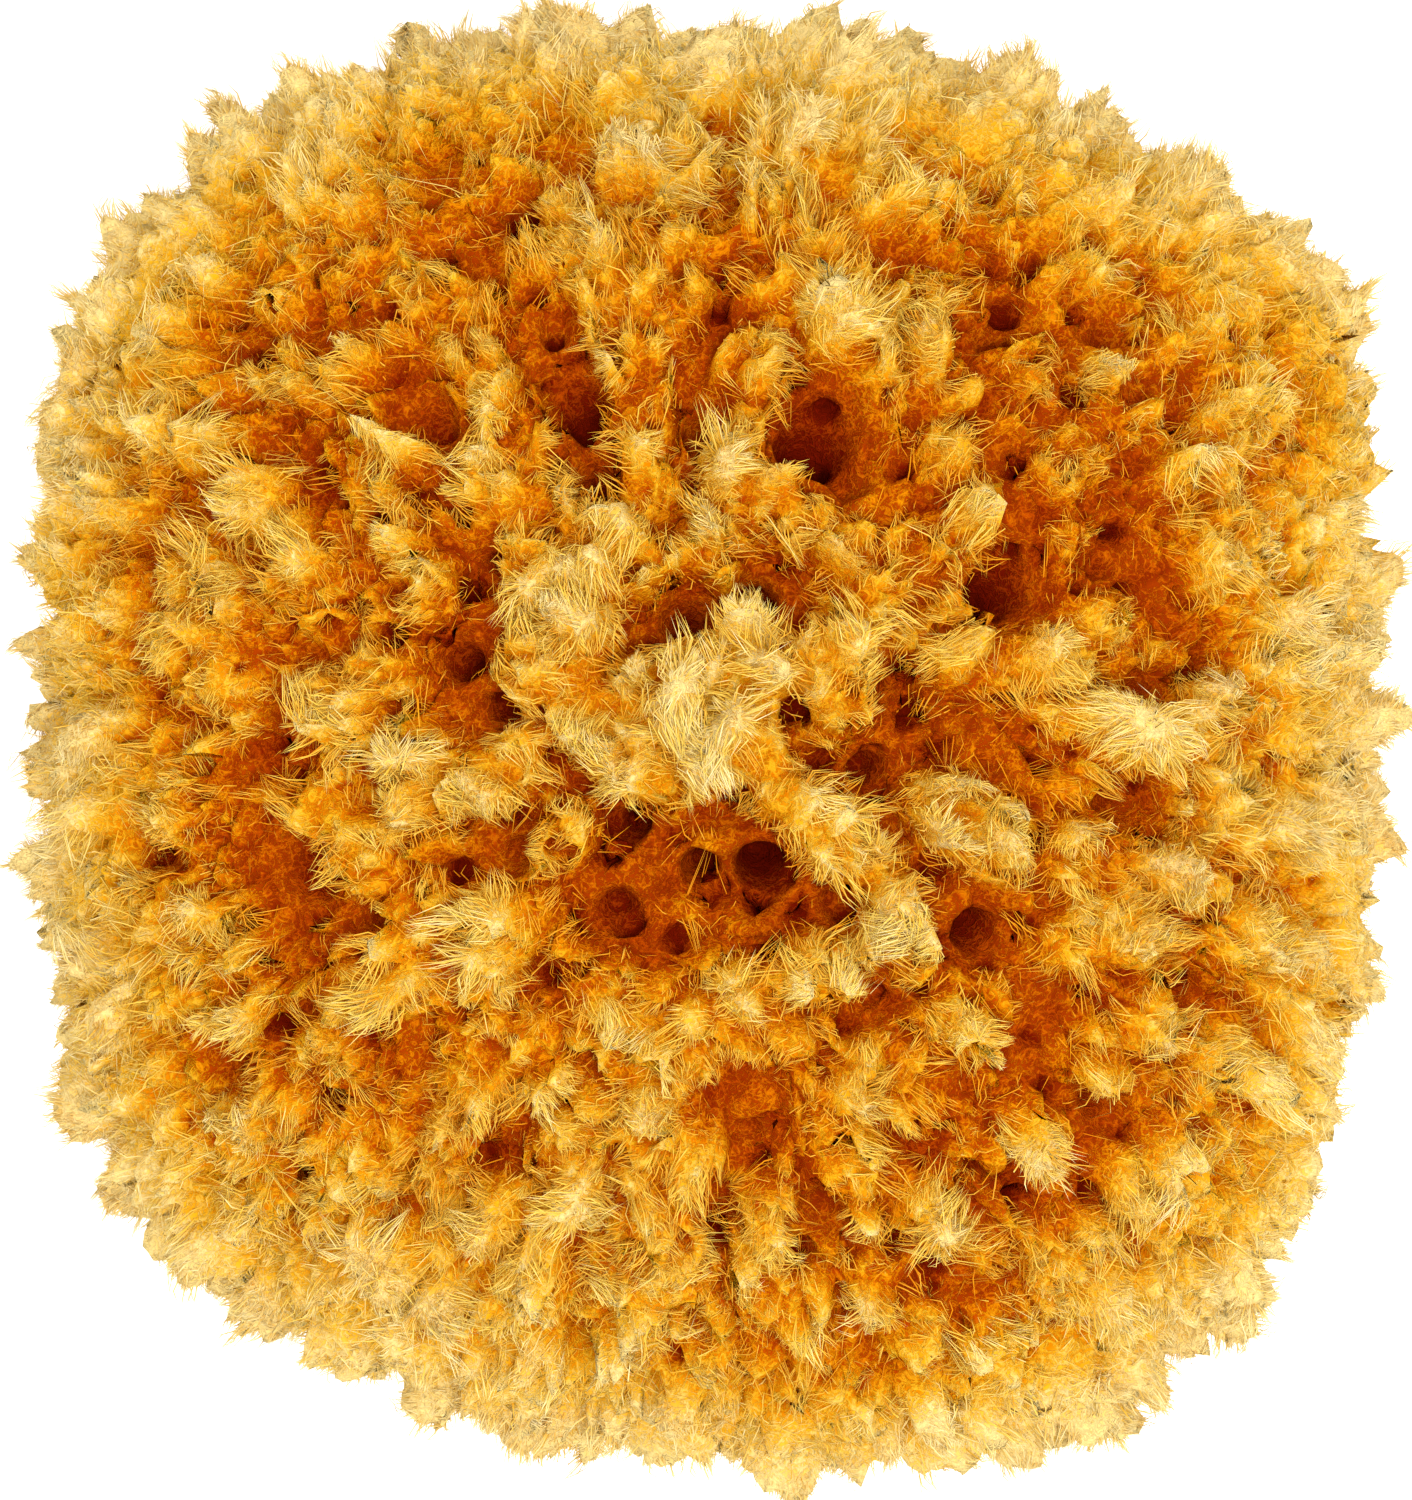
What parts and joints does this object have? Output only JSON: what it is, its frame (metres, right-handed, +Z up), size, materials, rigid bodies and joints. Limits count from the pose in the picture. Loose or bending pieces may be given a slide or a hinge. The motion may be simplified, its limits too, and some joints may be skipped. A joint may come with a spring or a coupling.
{
  "type": "sea sponge",
  "caption": "Natural wool sponge: a squarish golden dome of soft frayed tufts with deep pits between them, cut flat underneath to rest on.",
  "frame": {"origin": "centre of the sponge's bounding box at its flat cut face, which rests on the surface", "axes": "+X across the sponge, +Y along its longer side, +Z up from the cut face"},
  "size_m": [0.15, 0.16, 0.0924],
  "materials": {
    "spongin": "dull, soft and fibrous, golden at the tips and deep orange-brown in the pits"
  },
  "bodies": {
    "root": {"sponge": "spongin"}
  },
  "joints": []
}
